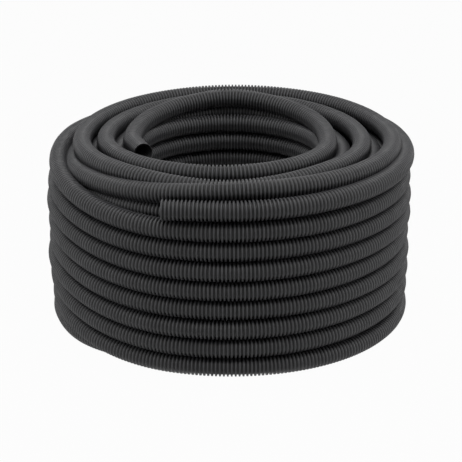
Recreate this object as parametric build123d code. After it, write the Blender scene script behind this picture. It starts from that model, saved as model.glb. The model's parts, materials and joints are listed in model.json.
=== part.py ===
"""A coil of corrugated conduit, standing on its end: one length of round tube wound into a ring.

The wound turns are a turned body whose faces carry the rounds of the turns that show.  At the
left the turns of the outer wall step down to the row below.  On top lies the loose strand: it
starts at the open inner end, arches over the back, spirals outwards and dives into the winding.
The last turn of the outer wall lies on the top edge: the open outer end is at the front, and the
other end steps down into the wall.
Millimetres, +Z up, origin on the floor at the middle of the coil.
"""
import os
from math import asin, cos, degrees, radians, sin

from build123d import *

# Driving dimensions of the tube and the winding
TUBE_OD = 25.0                # over the crests of the corrugation
TUBE_ID = 19.0                # inside the roots of the corrugation
COIL_BORE = 229.0             # clear diameter through the middle of the coil
COLUMNS = 5                   # turns side by side across the winding
ROWS = 8                      # full turns on top of one another in the outer and inner walls
GROOVE_REACH = 0.22 * TUBE_OD  # how far the solid core stands out past the turns' middles
TOP_ROW_RISE = 0.84 * TUBE_OD  # from the last full row up to the turns that show on the top
SHOULDER = 0.48 * TUBE_OD     # how far the sloping edge outside them stands above the last full row

# Where the turns of the outer wall step down to the row below, in degrees anticlockwise from the right
STEP_MIDDLE = 192.0           # direction of the middle of the step
STEP_TURN = 92.0              # degrees that the step takes
STEP_LAP = 0.6                # degrees that its ends reach into the level turns
STEP_INSET = 0.016 * TUBE_OD  # how far it lies inside the level turns
FRONT = -90.0                 # direction of the front

# The loose strand on top, a flat spiral of half turns
TOP_SINK = 0.1 * TUBE_OD      # how deep the spiral presses into the turns that it lies on
CROSSINGS = (0.04, 0.0, 1.44, 1.76, 2.68, 3.4, 3.08)  # tube diameters outwards, left and right in turn
ARCH_TILT = 9.8               # slope of the first half turn, which rises to the back
ARCH_EASE = 3.0 * TUBE_OD     # radius of the bends that bring it level at the sides
LEVEL_TURN = 96.0             # degrees of the last half turn that stay level
DIVE_TURN = 88.0              # degrees of the arc that then goes down into the winding
DIVE_TILT = 9.0               # slope of that arc's plane

# The open inner end
INNER_BEND = 1.8 * TUBE_OD    # radius of the bend that turns it inwards
INNER_TURN = 20.0             # degrees that it turns
INNER_STRAIGHT = 41.0         # straight stretch with the open mouth

# The last turn of the outer wall and the open outer end
LAST_OUT = 0.04 * TUBE_OD     # how far it stands out past the wall
LAST_RISE = 1.06 * TUBE_OD    # height of its middle above the middle of the last full row
LAST_START = 4.0              # degrees to the left of the front where the free end leaves it
SINK_EASE = 2.0 * TUBE_OD     # radius of the bend that starts it on its way down
SINK_TURN = 94.2              # degrees of the arc on which it then steps down
SINK_INSET = 0.08 * TUBE_OD   # how much smaller that arc's radius is than the wall's
OUTER_STRAIGHT = 65.0         # straight stretch with the open mouth
BORE_STOP = 0.08 * TUBE_OD    # the modelled bore ends this far before its straight stretch does

RADIUS = TUBE_OD / 2
INNER_COLUMN = COIL_BORE / 2 + RADIUS
OUTER_COLUMN = INNER_COLUMN + (COLUMNS - 1) * TUBE_OD
LAST_ROW_Z = RADIUS + (ROWS - 1) * TUBE_OD
TOP_ROW_Z = LAST_ROW_Z + TOP_ROW_RISE
SPIRAL_Z = TOP_ROW_Z + TUBE_OD - TOP_SINK
UP = Vector(0, 0, 1)
ORIGIN = Vector(0, 0, 0)


def turned_sector(start, turn, wall_rows):
    """The wound turns over an angle: a core with a round for every turn that shows on its sides."""
    columns = [INNER_COLUMN + i * TUBE_OD for i in range(COLUMNS)]
    rows = [RADIUS + k * TUBE_OD for k in range(ROWS)]
    rounds = [(x, rows[0]) for x in columns]
    rounds += [(columns[0], z) for z in rows[1:]]
    rounds += [(columns[-1], z) for z in rows[1:wall_rows]]
    rounds += [(x, TOP_ROW_Z) for x in columns[:-1]]
    left, right = columns[0] - GROOVE_REACH, columns[-1] + GROOVE_REACH
    low, high = rows[0] - GROOVE_REACH, TOP_ROW_Z + GROOVE_REACH
    edge = INNER_COLUMN + CROSSINGS[-2] * TUBE_OD
    core = [(left, low), (right, low), (right, rows[-1]), (columns[-1], rows[-1]),
            (columns[-1], rows[-1] + SHOULDER), (edge, high), (left, high)]
    with BuildSketch(Plane.XZ) as section:
        with Locations(*rounds):
            Circle(RADIUS)
        with BuildLine():
            Polyline(*core, close=True)
        make_face()
    return Rot(0, 0, start) * revolve(section.sketch, axis=Axis.Z, revolution_arc=turn)


def turned_body():
    """The wound turns, with only the lowest round of the outer wall where the others step down."""
    begin = STEP_MIDDLE - STEP_TURN / 2
    level = turned_sector(begin + STEP_TURN, 360 - STEP_TURN, ROWS)
    return level + turned_sector(begin, STEP_TURN, 1)


def section_plane(point, direction):
    """The plane of a bar's round section, with the start of the round on its top side."""
    return Plane(origin=point, x_dir=UP, z_dir=direction)


def straight(point, direction, length, radius):
    """A round bar from a point along a direction, and its far end."""
    bar = extrude(section_plane(point, direction) * Circle(radius), amount=length)
    return bar, point + direction * length


def bend(point, direction, centre, angle):
    """A round bar bent about a centre, and the point and direction at its far end."""
    axis = Axis(centre, (point - centre).cross(direction))
    bar = revolve(section_plane(point, direction) * Circle(RADIUS), axis, angle)
    spin = Axis(ORIGIN, axis.direction)
    return bar, centre + (point - centre).rotate(spin, angle), direction.rotate(spin, angle)


def open_end(point, direction, length):
    """A straight end with an open mouth: its bar, and the bore to cut from it."""
    bar, mouth = straight(point, direction, length, RADIUS)
    bore, _ = straight(mouth, direction * -1, length - BORE_STOP, TUBE_ID / 2)
    return bar, bore


def step_tilt(drop, radius, half):
    """Tilt in radians of an arc that goes down by the drop from one end of its turn to the other."""
    return asin(drop / (2 * radius * sin(half)))


def stepping_turns():
    """The stretches of the outer wall's turns that go down to the row below."""
    spin = Axis(ORIGIN, UP)
    radius = OUTER_COLUMN - STEP_INSET
    half = radians(STEP_TURN / 2 + STEP_LAP)
    tilt = step_tilt(TUBE_OD, radius, half)
    out = Vector(1, 0, 0).rotate(spin, STEP_MIDDLE)
    along = Vector(0, 1, 0).rotate(spin, STEP_MIDDLE) * cos(tilt) - UP * sin(tilt)
    heading = out * sin(half) + along * cos(half)
    bars = []
    for k in range(1, ROWS):
        centre = UP * k * TUBE_OD
        start = centre + (out * cos(half) - along * sin(half)) * radius
        bars.append(bend(start, heading, centre, degrees(2 * half))[0])
    return bars


def crossing(i):
    """Where the spiral crosses the line from left to right for the i-th time, and its heading."""
    side = -1 if i % 2 == 0 else 1
    return Vector(side * (INNER_COLUMN + CROSSINGS[i] * TUBE_OD), 0, SPIRAL_Z), Vector(0, -side, 0)


def top_layer():
    """The loose strand: its bars from the inner end to the dive, and the bore of its open end."""
    left, heading = crossing(0)
    right, _ = crossing(1)
    bar, end, out = bend(left, heading * -1, left + Vector(INNER_BEND, 0, 0), INNER_TURN)
    mouth_bar, bore = open_end(end, out, INNER_STRAIGHT)
    bars = [bar, mouth_bar]

    bar, end, heading = bend(left, heading, left + UP * ARCH_EASE, ARCH_TILT)
    bars.append(bar)
    middle = Vector((left.X + right.X) / 2, end.Y, end.Z)
    bar, end, heading = bend(end, heading, middle, 180)
    bars.append(bar)
    above = UP.rotate(Axis.X, ARCH_TILT) * ARCH_EASE
    bars.append(bend(end, heading, end + above, ARCH_TILT)[0])

    for i in range(1, len(CROSSINGS) - 1):
        start, heading = crossing(i)
        centre = (start + crossing(i + 1)[0]) / 2
        turn = LEVEL_TURN if i == len(CROSSINGS) - 2 else 180
        bar, end, heading = bend(start, heading, centre, turn)
        bars.append(bar)
    inward = (centre - end).rotate(Axis(ORIGIN, heading), DIVE_TILT)
    bars.append(bend(end, heading, end + inward, DIVE_TURN)[0])
    return bars, bore


def last_turn():
    """The last turn of the outer wall: its bars, and the bore of the open outer end."""
    middle = Vector(0, 0, LAST_ROW_Z + LAST_RISE)
    spin = Axis(ORIGIN, UP)
    start = middle + Vector(0, -OUTER_COLUMN - LAST_OUT, 0).rotate(spin, -LAST_START)
    heading = Vector(1, 0, 0).rotate(spin, -LAST_START)
    mouth_bar, bore = open_end(start, heading * -1, OUTER_STRAIGHT)
    level = STEP_MIDDLE - STEP_TURN / 2 - FRONT + LAST_START
    bar, end, heading = bend(start, heading, middle, level)

    radius = OUTER_COLUMN - SINK_INSET
    half = radians(SINK_TURN / 2)
    tilt = step_tilt(LAST_RISE, radius, half)
    slope = asin(cos(half) * sin(tilt))
    easing, end, heading = bend(end, heading, end - UP * SINK_EASE, degrees(slope))
    lean = asin(sin(half) * sin(tilt) / cos(slope))
    inward = UP.cross(heading).normalized().rotate(Axis(ORIGIN, heading), -degrees(lean))
    sinking = bend(end, heading, end + inward * radius, SINK_TURN)[0]
    return [bar, easing, sinking, mouth_bar], bore


def conduit():
    """The whole length of conduit as one solid."""
    top_bars, inner_bore = top_layer()
    last_bars, outer_bore = last_turn()
    whole = turned_body()
    for bar in stepping_turns() + last_bars + top_bars:
        whole = whole.fuse(bar)
    return whole.cut(inner_bore, outer_bore)


if __name__ == "__main__":
    os.makedirs("parts", exist_ok=True)
    coil = conduit()
    coil.label = "conduit"
    export_step(coil, "parts/conduit.step")
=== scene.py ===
"""Dresses the coil of corrugated conduit: every turn as ribbed tube, the two open ends, and a studio."""
import json
import math

import bpy
import numpy as np
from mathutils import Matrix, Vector


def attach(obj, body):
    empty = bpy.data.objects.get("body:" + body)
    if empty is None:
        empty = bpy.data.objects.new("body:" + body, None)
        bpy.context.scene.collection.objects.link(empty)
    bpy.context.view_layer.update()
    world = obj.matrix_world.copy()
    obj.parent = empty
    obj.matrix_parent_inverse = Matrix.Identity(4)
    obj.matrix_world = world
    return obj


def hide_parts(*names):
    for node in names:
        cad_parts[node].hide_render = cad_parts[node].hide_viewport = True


bl_info = {
    "name": "Corrugated Conduit Coil",
    "version": (1, 0, 0),
    "blender": (4, 5, 0),
    "location": "3D View > Sidebar > Conduit",
    "description": "Winds a coil of ribbed conduit turn by turn and sets it in a plain studio",
    "category": "Add Mesh",
}

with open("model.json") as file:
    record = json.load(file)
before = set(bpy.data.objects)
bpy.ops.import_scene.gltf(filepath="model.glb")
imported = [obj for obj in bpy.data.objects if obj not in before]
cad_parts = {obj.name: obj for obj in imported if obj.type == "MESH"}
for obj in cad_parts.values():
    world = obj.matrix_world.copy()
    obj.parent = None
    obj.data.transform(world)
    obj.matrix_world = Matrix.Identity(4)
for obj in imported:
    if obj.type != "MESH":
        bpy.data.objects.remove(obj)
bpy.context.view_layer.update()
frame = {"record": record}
MOUNTS = {mount["name"]: mount for mount in frame["record"]["mounts"]}
SLOT = frame["record"]["materials"][0]

# Angles are in degrees round the coil: 0 is the front, 90 the right, 180 the back, 270 the left.
CROSSING = 249.0          # where a turn of the wall leaves its row for the next one
CROSSING_SPAN = 92.0      # the angle that it takes to get there
OUTER_CROSSINGS = 8       # rows that the outer wall comes down
FLOOR_CROSSINGS = 4       # columns that the floor turns go inwards
INNER_CROSSINGS = 8       # rows that the inner wall goes up
TUCK_DELAY = 51.0         # the lowest row of the outer wall tucks in under the coil this much later
TUCK_SPAN = 45.0          # the angle that the tuck takes
LOOSE = 0.005             # how far the outer wall's turns stand up at the right, where they lie loose
START = -4.0              # where the straight outer end turns into the first turn of the wall
STEP = 0.5                # degrees between the worked-out points of a path


class ConduitTube(bpy.types.PropertyGroup):
    """Sizes of the tube and its ribs."""
    diameter: bpy.props.FloatProperty(
        name="Diameter", description="Outside diameter over the ribs",
        default=0.025, min=0.005, max=0.1, unit="LENGTH", precision=4)
    wall: bpy.props.FloatProperty(
        name="Wall", description="Thickness of the ribbed wall",
        default=0.0006, min=0.0002, max=0.003, unit="LENGTH", precision=4)
    pitch: bpy.props.FloatProperty(
        name="Rib pitch", description="Distance from one rib to the next",
        default=0.00468, min=0.002, max=0.02, unit="LENGTH", precision=5)
    sides: bpy.props.IntProperty(
        name="Sides", description="Flat sides round a ribbed tube", default=14, min=8, max=32)


class ConduitCoil(bpy.types.PropertyGroup):
    """Sizes of the winding."""
    outer_radius: bpy.props.FloatProperty(
        name="Outer wall", description="Radius of the middle of the outer wall's turns",
        default=0.2264, min=0.1, max=0.5, unit="LENGTH", precision=4)
    last_radius: bpy.props.FloatProperty(
        name="Last turn", description="Radius of the last turn, which ends in the open outer end",
        default=0.228, min=0.1, max=0.5, unit="LENGTH", precision=4)
    inner_pitch: bpy.props.FloatProperty(
        name="Inner rows", description="Distance from one row of the inner wall to the next",
        default=0.0256, min=0.005, max=0.1, unit="LENGTH", precision=4)
    unevenness: bpy.props.FloatProperty(
        name="Unevenness", description="How far the turns wander from a true circle",
        default=0.0008, min=0.0, max=0.005, unit="LENGTH", precision=4)


class ConduitFinish(bpy.types.PropertyGroup):
    """Colours of the plastic and the studio."""
    plastic: bpy.props.FloatVectorProperty(
        name="Plastic", description="Charcoal of the conduit", subtype="COLOR", size=3,
        default=tuple(SLOT["base_color"][:3]), min=0.0, max=1.0)
    roughness: bpy.props.FloatProperty(
        name="Roughness", description="Roughness of the plastic", subtype="FACTOR",
        default=0.48, min=0.0, max=1.0)
    floor: bpy.props.FloatVectorProperty(
        name="Floor", description="Colour of the studio floor", subtype="COLOR", size=3,
        default=(0.4, 0.4, 0.4), min=0.0, max=1.0)
    softbox: bpy.props.FloatProperty(
        name="Softbox", description="Power of the large lamp overhead", unit="POWER",
        default=11.5, min=0.0, max=500.0)
    side_lamps: bpy.props.FloatProperty(
        name="Side lamps", description="Power of each of the two lamps at the sides", unit="POWER",
        default=4.0, min=0.0, max=500.0)
    sky: bpy.props.FloatProperty(
        name="Sky", description="Strength of the even light from all round",
        default=0.1, min=0.0, max=2.0)


def smooth_step(t):
    """Goes from 0 to 1 with a level start and end: three t squared less two t cubed."""
    t = np.clip(t, 0.0, 1.0)
    return t * t * (3.0 - 2.0 * t)


def crossings(angle, first, count, delays=0.0, spans=CROSSING_SPAN):
    """How many of the crossings from first on lie behind each angle, each one a smooth step."""
    starts = CROSSING + 360.0 * (first + np.arange(count)) + delays
    return smooth_step((angle[:, None] - starts) / spans).sum(axis=1)


def rounded(angle, knots, values, window=50.0):
    """Straight lines between given values, averaged with a raised-cosine window to round them."""
    half = int(window / STEP / 2)
    weights = 1.0 + np.cos(np.linspace(-math.pi, math.pi, 2 * half + 1))
    straight = np.interp(angle, knots, values)
    return np.convolve(np.pad(straight, half, mode="edge"), weights / weights.sum(), mode="valid")


def round_path(angle, radius, height):
    """Points at radius times (sine, minus cosine) of the angle, at the height."""
    a = np.radians(angle)
    return np.stack([radius * np.sin(a), -radius * np.cos(a), height + 0.0 * a], axis=1)


def distances(points):
    """Distance of every point from the first one along the path."""
    steps = np.linalg.norm(np.diff(points, axis=0), axis=1)
    return np.concatenate([[0.0], np.cumsum(steps)])


def open_end(name):
    """The straight points from the mouth of a free end back along its axis, just past its bore."""
    mount = MOUNTS[name]
    length = mount["dims"]["length_mm"] / 1000 + 0.002
    back = np.linspace(0.0, length, 40)[:, None]
    return np.array(mount["pos_m"]) - back * np.array(mount["axis"])


def wall_path(coil, tube):
    """The long strand: free outer end, outer wall down, floor turns inwards, inner wall up.

    The height is the last turn's less one diameter for each outer crossing, and one inner pitch
    more for each inner crossing.  The outer wall's turns stand up a little at the right, all but
    the lowest.  The radius is the outer wall's less one diameter for each floor crossing, with slow
    waves and a few turns that bulge at the left.  Past the last row the strand leaves the inner wall,
    down and outwards into the winding.
    Returns the points and the angle at each; the straight end takes up the 16 degrees before the start.
    """
    total = OUTER_CROSSINGS + FLOOR_CROSSINGS + INNER_CROSSINGS
    angle = np.arange(START, CROSSING + 360.0 * total + 60.0, STEP)
    d = tube.diameter
    row = d / 2 + (OUTER_CROSSINGS - 1) * d
    lift = MOUNTS["outer_end_bore"]["pos_m"][2] - row
    lift = lift + rounded(angle, (60.0, 112.0, 180.0, 250.0), (0.0, 0.005, 0.001, 0.003), 40.0)
    first = crossings(angle, 0, 1)
    outer = crossings(angle, 0, OUTER_CROSSINGS)
    tuck = np.arange(FLOOR_CROSSINGS) == 0
    floor = crossings(angle, OUTER_CROSSINGS, FLOOR_CROSSINGS, TUCK_DELAY * tuck,
                      np.where(tuck, TUCK_SPAN, CROSSING_SPAN))
    inner = crossings(angle, OUTER_CROSSINGS + FLOOR_CROSSINGS, INNER_CROSSINGS)
    height = row + lift * (1.0 - first) - d * (outer - first) + coil.inner_pitch * inner
    loose = rounded(angle % 360.0, (0.0, 25.0, 50.0, 70.0, 110.0, 180.0, 250.0, 300.0, 340.0),
                    (0.0, 0.25, 0.75, 1.0, 1.0, 0.6, 0.5, 0.2, 0.0), 20.0)
    in_wall = angle < CROSSING + 360.0 * OUTER_CROSSINGS
    height = height + LOOSE * loose * in_wall * np.clip((height - d / 2) / (1.5 * d), 0.0, 1.0)

    a = np.radians(angle)
    waves = np.sin(1.37 * a) + 0.6 * np.sin(3.71 * a + 1.0) - np.sin(a)
    radius = coil.last_radius - rounded(angle, (90.0, 180.0, 262.0), (0.0, 0.001, 0.0045), 40.0)
    radius = radius + first * (coil.outer_radius - radius + coil.unevenness * waves)
    for turn, bulge in ((2, 0.003), (4, 0.0015), (5, 0.0045)):
        radius = radius + bulge * np.exp(-((angle - 270.0 - 360.0 * turn) / 38.0) ** 2)
    leaving = smooth_step((angle - CROSSING - 360.0 * total) / 56.0)
    points = round_path(angle, radius - d * floor + 0.024 * leaving, height - 0.029 * leaving)

    straight = open_end("outer_end_bore")[:-1]
    before = np.linspace(START - 16.0, START, len(straight), endpoint=False)
    return np.concatenate([straight, points]), np.concatenate([before, angle])


def spiral_path():
    """The loose strand on top: open inner end, arch over the back, three turns outwards, the dive.

    Radius and height follow listed values at the left, back, right and front of each turn.
    """
    knots = (90, 135, 180, 225, 270, 360, 450, 540, 630, 680, 720, 760, 810, 855, 900, 945, 990, 1080,
             1113, 1132, 1147, 1165, 1200, 1260, 1350, 1440, 1475, 1530)
    radii = (0.1280, 0.1330, 0.1400, 0.1330, 0.1265, 0.1440, 0.1634, 0.1710, 0.1716, 0.1770,
             0.1825, 0.1880, 0.1940, 0.1985, 0.2030, 0.2075, 0.2120, 0.2070, 0.2065, 0.2060,
             0.2060, 0.2050, 0.2040, 0.2040, 0.2070, 0.2060, 0.2060, 0.2040)
    heights = (0.2303, 0.2420, 0.2520, 0.2420, 0.2310, 0.2310, 0.2310, 0.2380, 0.2310, 0.2315,
               0.2235, 0.2315, 0.2315, 0.2370, 0.2405, 0.2380, 0.2320, 0.2315, 0.2200, 0.2155,
               0.2135, 0.2095, 0.2095, 0.2135, 0.2050, 0.2015, 0.1990, 0.1880)
    angle = np.arange(knots[0], knots[-1], STEP)
    radius = rounded(angle, knots, radii, 36.0)
    height = rounded(angle, knots, heights, 36.0)
    points = round_path(-angle, radius, height)
    straight = open_end("inner_end_bore")
    ends = straight[-1], points[0]
    corner = np.array([ends[1][0], ends[0][1] / 2, ends[0][2]])
    t = np.linspace(0.0, 1.0, 30)[:, None]
    turn = (1 - t) ** 2 * ends[0] + 2 * t * (1 - t) * corner + t ** 2 * ends[1]
    return np.concatenate([straight[:-1], turn[:-1], points])


def low_path(knots, radii, heights):
    """A strand that lies under the loose top: radius and height follow listed values."""
    angle = np.arange(knots[0], knots[-1], STEP)
    return round_path(angle, rounded(angle, knots, radii), rounded(angle, knots, heights))


def ribs(length, tube):
    """Stations and radii of the ribs: in each pitch 38 % crest, 12 % flank, 38 % root, 12 % flank.

    Also gives each station's height on the rib, from 0 at a root to 1 on a crest.
    """
    count = int(length / tube.pitch)
    shares = np.array([0.0, 0.38, 0.50, 0.88])
    stations = ((np.arange(count)[:, None] + shares) * tube.pitch).ravel()
    crest = tube.diameter / 2
    root = MOUNTS["outer_end_bore"]["dims"]["r_mm"] / 1000 + tube.wall
    return stations, np.tile([crest, crest, root, root], count), np.tile([1.0, 1.0, 0.0, 0.0], count)


def swept(points, stations, radii, sides, facing):
    """A round section carried along a path.

    At each station the section's axes are the path's level side, the direction crossed with
    upright, and the side crossed with the direction.  A section point is the path's point plus
    the radius times cosine of side plus sine of up.  The angles crowd towards facing: each is an
    even share of the round less 0.4 times its sine.
    """
    along = distances(points)
    heading = np.gradient(points, along, axis=0)
    middle = np.stack([np.interp(stations, along, points[:, k]) for k in range(3)], axis=1)
    heading = np.stack([np.interp(stations, along, heading[:, k]) for k in range(3)], axis=1)
    heading /= np.linalg.norm(heading, axis=1, keepdims=True)
    side = np.cross(heading, (0.0, 0.0, 1.0))
    side /= np.linalg.norm(side, axis=1, keepdims=True)
    up = np.cross(side, heading)
    t = np.linspace(0.0, 2.0 * math.pi, sides, endpoint=False)
    turn = math.radians(facing) + t - 0.4 * np.sin(t)
    ring = np.cos(turn)[None, :, None] * side[:, None] + np.sin(turn)[None, :, None] * up[:, None]
    return middle[:, None] + radii[:, None, None] * ring


def ribbed(points, tube, facing, mouth=0.0, reach=(0.0, np.inf)):
    """The rings of ribbed tube along a path between two distances, and each ring's height on the rib.

    An open mouth puts the inside before the outside: the wall's inner face from that depth out to the rim.
    """
    stations, radii, rib = ribs(distances(points)[-1], tube)
    low, high = np.searchsorted(stations, reach)
    stations, radii, rib = stations[low:high + 1], radii[low:high + 1], rib[low:high + 1]
    inside = np.arange(np.searchsorted(stations, mouth))[::-1] if mouth > 0.0 else np.arange(0)
    radii = np.concatenate([radii[inside] - tube.wall, radii])
    rib = np.concatenate([np.zeros(len(inside)), rib])
    stations = np.concatenate([stations[inside], stations])
    return swept(points, stations, radii, tube.sides, facing), rib


def wall_stretch(scene, begin, end, facing, mouth=0.0):
    """The ribbed tube of the long strand between two angles."""
    points, angle = wall_path(scene.conduit_coil, scene.conduit_tube)
    reach = np.interp((begin, end), angle, distances(points))
    return ribbed(points, scene.conduit_tube, facing, mouth, reach)


def tube_object(name, tubes):
    """A mesh of closed tubes, one from each grid of rings: four-sided faces and a cap at each end.

    Each grid comes with its rings' heights on the rib, which drive the plastic's painted light on the
    crests and painted shade in the roots.
    """
    verts, loops, totals, heights, first = [], [], [], [], 0
    for grid, rib in tubes:
        rings, sides = grid.shape[:2]
        index = first + np.arange(rings * sides).reshape(rings, sides)
        nxt = np.roll(index, -1, axis=1)
        quads = np.stack([index[:-1], index[1:], nxt[1:], nxt[:-1]], axis=-1)
        loops += [quads.ravel(), index[0], index[-1][::-1]]
        totals += [np.full(quads.size // 4, 4), [sides, sides]]
        verts.append(grid.reshape(-1, 3))
        heights.append(np.repeat(rib, sides))
        first += rings * sides
    verts, loops, totals = np.concatenate(verts), np.concatenate(loops), np.concatenate(totals)
    mesh = bpy.data.meshes.new(name)
    mesh.vertices.add(len(verts))
    mesh.vertices.foreach_set("co", verts.astype(np.float32).ravel())
    mesh.loops.add(len(loops))
    mesh.loops.foreach_set("vertex_index", loops.astype(np.int32))
    mesh.polygons.add(len(totals))
    mesh.polygons.foreach_set("loop_start", (np.cumsum(totals) - totals).astype(np.int32))
    mesh.polygons.foreach_set("use_smooth", np.ones(len(totals), dtype=bool))
    mesh.update(calc_edges=True)
    height = mesh.attributes.new("rib", "FLOAT", "POINT")
    height.data.foreach_set("value", np.concatenate(heights).astype(np.float32))
    if mesh.validate():
        raise RuntimeError(name + " has faces that Blender had to mend")
    piece = bpy.data.objects.new(name, mesh)
    bpy.context.scene.collection.objects.link(piece)
    piece.data.materials.append(charcoal_plastic())
    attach(piece, "root")
    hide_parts("conduit")
    return piece


def charcoal_plastic():
    """Satin charcoal polymer: painted light on the crests, painted shade in the roots, uneven tone and
    gloss, a fine moulded grain.
    """
    name = "charcoal_conduit_plastic"
    if name in bpy.data.materials:
        return bpy.data.materials[name]
    finish = bpy.context.scene.conduit_finish
    material = bpy.data.materials.new(name)
    material.use_nodes = True
    nodes, links = material.node_tree.nodes, material.node_tree.links
    shader = nodes["Principled BSDF"]
    shader.inputs["Specular IOR Level"].default_value = 0.45
    place = nodes.new("ShaderNodeTexCoord")

    def noise(scale, detail):
        texture = nodes.new("ShaderNodeTexNoise")
        texture.inputs["Scale"].default_value = scale
        texture.inputs["Detail"].default_value = detail
        links.new(place.outputs["Object"], texture.inputs["Vector"])
        return texture.outputs["Fac"]

    def ramp(value, stops):
        node = nodes.new("ShaderNodeValToRGB")
        for element, (position, colour) in zip(node.color_ramp.elements, stops):
            element.position = position
            element.color = (*colour, 1.0)
        links.new(value, node.inputs["Fac"])
        return node.outputs["Color"]

    base = tuple(finish.plastic)
    rib = nodes.new("ShaderNodeAttribute")
    rib.attribute_name = "rib"
    # Painted light and shade: crests at 1.6 times the plastic's colour stand in for the light on them,
    # roots at 0.12 times for the shade in the grooves.
    rib_painted_light_shade = ramp(rib.outputs["Fac"], ((0.3, [0.12 * c for c in base]), (1.0, [1.6 * c for c in base])))
    tone = ramp(noise(14.0, 4.0), ((0.3, [0.85] * 3), (0.7, [1.0] * 3)))
    # The painted crest light and root shade, multiplied by the uneven random tone.
    rib_light_shade_times_tone = nodes.new("ShaderNodeMix")
    rib_light_shade_times_tone.data_type = "RGBA"
    rib_light_shade_times_tone.blend_type = "MULTIPLY"
    rib_light_shade_times_tone.inputs["Factor"].default_value = 1.0
    links.new(rib_painted_light_shade, rib_light_shade_times_tone.inputs["A"])
    links.new(tone, rib_light_shade_times_tone.inputs["B"])
    links.new(rib_light_shade_times_tone.outputs["Result"], shader.inputs["Base Color"])
    rough = finish.roughness
    gloss = ramp(noise(60.0, 3.0), ((0.3, [rough - 0.05] * 3), (0.7, [rough + 0.07] * 3)))
    links.new(gloss, shader.inputs["Roughness"])
    grain = nodes.new("ShaderNodeBump")
    grain.inputs["Strength"].default_value = 0.12
    grain.inputs["Distance"].default_value = 0.0003
    links.new(noise(1800.0, 2.0), grain.inputs["Height"])
    links.new(grain.outputs["Normal"], shader.inputs["Normal"])
    return material


class CONDUIT_OT_outer_wall(bpy.types.Operator):
    """Wind the outer wall from the open outer end down to the floor"""
    bl_idname = "conduit.outer_wall"
    bl_label = "Outer wall"

    def execute(self, context):
        middle = CROSSING + 360.0 * (OUTER_CROSSINGS // 2)
        foot = CROSSING + 360.0 * OUTER_CROSSINGS
        scene = context.scene
        tube_object("outer_wall_upper", [wall_stretch(scene, START - 16.0, middle, 0.0, mouth=0.06)])
        tube_object("outer_wall_lower", [wall_stretch(scene, middle, foot, 0.0)])
        return {"FINISHED"}


class CONDUIT_OT_floor_turns(bpy.types.Operator):
    """Wind the turns that lie on the floor, from the outer wall to the inner one"""
    bl_idname = "conduit.floor_turns"
    bl_label = "Floor turns"

    def execute(self, context):
        begin = CROSSING + 360.0 * OUTER_CROSSINGS
        end = begin + 360.0 * FLOOR_CROSSINGS
        tube_object("floor_turns", [wall_stretch(context.scene, begin, end, -90.0)])
        return {"FINISHED"}


class CONDUIT_OT_inner_wall(bpy.types.Operator):
    """Wind the inner wall from the floor up to the loose top"""
    bl_idname = "conduit.inner_wall"
    bl_label = "Inner wall"

    def execute(self, context):
        begin = CROSSING + 360.0 * (OUTER_CROSSINGS + FLOOR_CROSSINGS)
        end = begin + 360.0 * INNER_CROSSINGS + 59.0
        tube_object("inner_wall", [wall_stretch(context.scene, begin, end, 180.0)])
        return {"FINISHED"}


class CONDUIT_OT_low_turns(bpy.types.Operator):
    """Lay the turns that show between the strands of the loose top"""
    bl_idname = "conduit.low_turns"
    bl_label = "Low turns"

    def execute(self, context):
        knots = (-60, 0, 90, 130, 180, 230, 270, 330, 450, 540, 630, 690)
        radii = (0.146, 0.150, 0.148, 0.148, 0.150, 0.148, 0.146, 0.158, 0.189, 0.186, 0.179, 0.181)
        heights = (0.182, 0.212, 0.213, 0.219, 0.2295, 0.219, 0.213, 0.211, 0.213, 0.213, 0.211, 0.180)
        points = low_path(knots, radii, heights)
        tube_object("low_turns", [ribbed(points, context.scene.conduit_tube, 90.0)])
        return {"FINISHED"}


class CONDUIT_OT_hidden_turns(bpy.types.Operator):
    """Fill the middle of the winding with plain turns that hardly show"""
    bl_idname = "conduit.hidden_turns"
    bl_label = "Hidden turns"

    def execute(self, context):
        tube, coil = context.scene.conduit_tube, context.scene.conduit_coil
        angle = np.arange(0.0, 359.0, STEP)
        plain, tubes = np.full(96, tube.diameter / 2), []
        for column in range(1, FLOOR_CROSSINGS):
            for row in range(1, OUTER_CROSSINGS):
                points = round_path(angle, coil.outer_radius - column * tube.diameter,
                                    (row + 0.5) * tube.diameter)
                stations = np.linspace(0.0, distances(points)[-1], len(plain))
                tubes.append((swept(points, stations, plain, 8, 90.0), np.ones(len(plain))))
        tube_object("hidden_turns", tubes)
        return {"FINISHED"}


class CONDUIT_OT_top_spiral(bpy.types.Operator):
    """Lay the loose strand on top, from the open inner end to where it dives into the winding"""
    bl_idname = "conduit.top_spiral"
    bl_label = "Top spiral"

    def execute(self, context):
        tube_object("top_spiral", [ribbed(spiral_path(), context.scene.conduit_tube, 90.0, mouth=0.05)])
        return {"FINISHED"}


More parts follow.
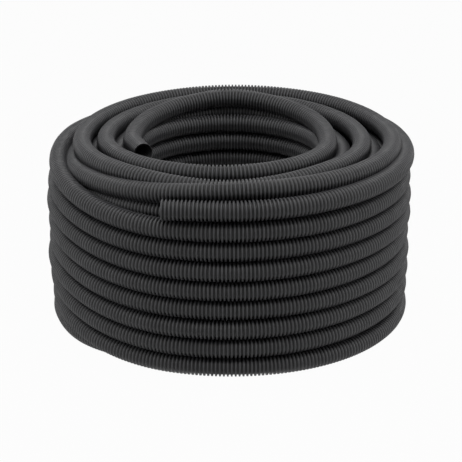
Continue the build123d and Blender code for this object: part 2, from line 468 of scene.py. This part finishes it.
class CONDUIT_OT_studio(bpy.types.Operator):
    """Set the floor, the white surround, the lamps and the camera"""
    bl_idname = "conduit.studio"
    bl_label = "Studio"

    def execute(self, context):
        scene = context.scene
        finish = scene.conduit_finish
        self.lay_floor(finish)
        self.light_sky(scene, finish)
        self.hang_lamp(scene, "softbox", finish.softbox, 1.0, (0.0, -0.3, 1.9))
        self.hang_lamp(scene, "left_lamp", finish.side_lamps, 0.4, (-1.6, -0.3, 0.7))
        self.hang_lamp(scene, "right_lamp", finish.side_lamps, 0.4, (1.6, -0.3, 0.7))
        camera = bpy.data.cameras.new("camera")
        camera.lens = 110.7
        camera.sensor_width = 36.0
        eye = bpy.data.objects.new("camera", camera)
        eye.location = (0.001, -1.788, 0.776)
        eye.rotation_euler = (math.radians(90.0 - 20.6), 0.0, 0.0)
        scene.collection.objects.link(eye)
        scene.camera = eye
        scene.view_settings.view_transform = "Standard"
        return {"FINISHED"}

    def hang_lamp(self, scene, name, power, size, place):
        """A round lamp of that size, turned towards the middle of the coil."""
        lamp = bpy.data.lights.new(name, "AREA")
        lamp.energy = power
        lamp.shape = "DISK"
        lamp.size = size
        hung = bpy.data.objects.new(name, lamp)
        hung.location = place
        away = Vector(place) - Vector((0.0, 0.0, 0.13))
        hung.rotation_euler = away.to_track_quat("Z", "Y").to_euler()
        scene.collection.objects.link(hung)

    def lay_floor(self, finish):
        """A large pale square at floor height that camera rays see mostly as plain white."""
        mesh = bpy.data.meshes.new("floor")
        reach = 6.0
        mesh.from_pydata([(-reach, -reach, 0), (reach, -reach, 0), (reach, reach, 0), (-reach, reach, 0)],
                         [], [(0, 1, 2, 3)])
        floor = bpy.data.objects.new("floor", mesh)
        bpy.context.scene.collection.objects.link(floor)
        material = bpy.data.materials.new("floor_white")
        material.use_nodes = True
        nodes, links = material.node_tree.nodes, material.node_tree.links
        nodes.clear()
        matte = nodes.new("ShaderNodeBsdfDiffuse")
        matte.inputs["Color"].default_value = (*finish.floor, 1.0)
        white = nodes.new("ShaderNodeEmission")
        white.inputs["Strength"].default_value = 1.0
        seen = seen_directly(nodes, links)
        share = nodes.new("ShaderNodeMath")
        share.operation = "MULTIPLY"
        share.inputs[1].default_value = 0.97
        links.new(seen, share.inputs[0])
        mix = nodes.new("ShaderNodeMixShader")
        links.new(share.outputs["Value"], mix.inputs["Fac"])
        links.new(matte.outputs["BSDF"], mix.inputs[1])
        links.new(white.outputs["Emission"], mix.inputs[2])
        output = nodes.new("ShaderNodeOutputMaterial")
        links.new(mix.outputs["Shader"], output.inputs["Surface"])
        floor.data.materials.append(material)

    def light_sky(self, scene, finish):
        """An even grey sky that lights the coil and looks plain white to the camera."""
        world = bpy.data.worlds.new("surround")
        scene.world = world
        world.use_nodes = True
        nodes, links = world.node_tree.nodes, world.node_tree.links
        nodes.clear()
        sky = nodes.new("ShaderNodeBackground")
        sky.inputs["Color"].default_value = (1.0, 1.0, 1.0, 1.0)
        sky.inputs["Strength"].default_value = finish.sky
        white = nodes.new("ShaderNodeBackground")
        white.inputs["Color"].default_value = (1.0, 1.0, 1.0, 1.0)
        white.inputs["Strength"].default_value = 1.0
        mix = nodes.new("ShaderNodeMixShader")
        links.new(seen_directly(nodes, links), mix.inputs["Fac"])
        links.new(sky.outputs["Background"], mix.inputs[1])
        links.new(white.outputs["Background"], mix.inputs[2])
        output = nodes.new("ShaderNodeOutputWorld")
        links.new(mix.outputs["Shader"], output.inputs["Surface"])


def seen_directly(nodes, links):
    """1 for rays from the camera, off gloss or through glass, and 0 for the light that falls."""
    path = nodes.new("ShaderNodeLightPath")
    value = path.outputs["Is Camera Ray"]
    for name in ("Is Glossy Ray", "Is Transmission Ray"):
        larger = nodes.new("ShaderNodeMath")
        larger.operation = "MAXIMUM"
        links.new(value, larger.inputs[0])
        links.new(path.outputs[name], larger.inputs[1])
        value = larger.outputs["Value"]
    return value


OPERATORS = (CONDUIT_OT_outer_wall, CONDUIT_OT_floor_turns, CONDUIT_OT_inner_wall, CONDUIT_OT_low_turns,
             CONDUIT_OT_hidden_turns, CONDUIT_OT_top_spiral, CONDUIT_OT_studio)


class CONDUIT_PT_panel(bpy.types.Panel):
    """Lists the sizes and the pieces of the coil"""
    bl_idname = "CONDUIT_PT_panel"
    bl_label = "Conduit coil"
    bl_space_type = "VIEW_3D"
    bl_region_type = "UI"
    bl_category = "Conduit"

    def draw(self, context):
        for name in GROUPS:
            group = getattr(context.scene, name)
            box = self.layout.box()
            for key in group.__annotations__:
                box.prop(group, key)
        for operator in OPERATORS:
            self.layout.operator(operator.bl_idname)


GROUPS = {"conduit_tube": ConduitTube, "conduit_coil": ConduitCoil, "conduit_finish": ConduitFinish}


def register():
    for name, group in GROUPS.items():
        bpy.utils.register_class(group)
        setattr(bpy.types.Scene, name, bpy.props.PointerProperty(type=group))
    for cls in (*OPERATORS, CONDUIT_PT_panel):
        bpy.utils.register_class(cls)


def unregister():
    for cls in (CONDUIT_PT_panel, *reversed(OPERATORS)):
        bpy.utils.unregister_class(cls)
    for name, group in reversed(GROUPS.items()):
        delattr(bpy.types.Scene, name)
        bpy.utils.unregister_class(group)


def main():
    register()
    bpy.ops.conduit.outer_wall()
    bpy.ops.conduit.floor_turns()
    bpy.ops.conduit.inner_wall()
    bpy.ops.conduit.low_turns()
    bpy.ops.conduit.hidden_turns()
    bpy.ops.conduit.top_spiral()
    bpy.ops.conduit.studio()


if __name__ == "__main__":
    main()
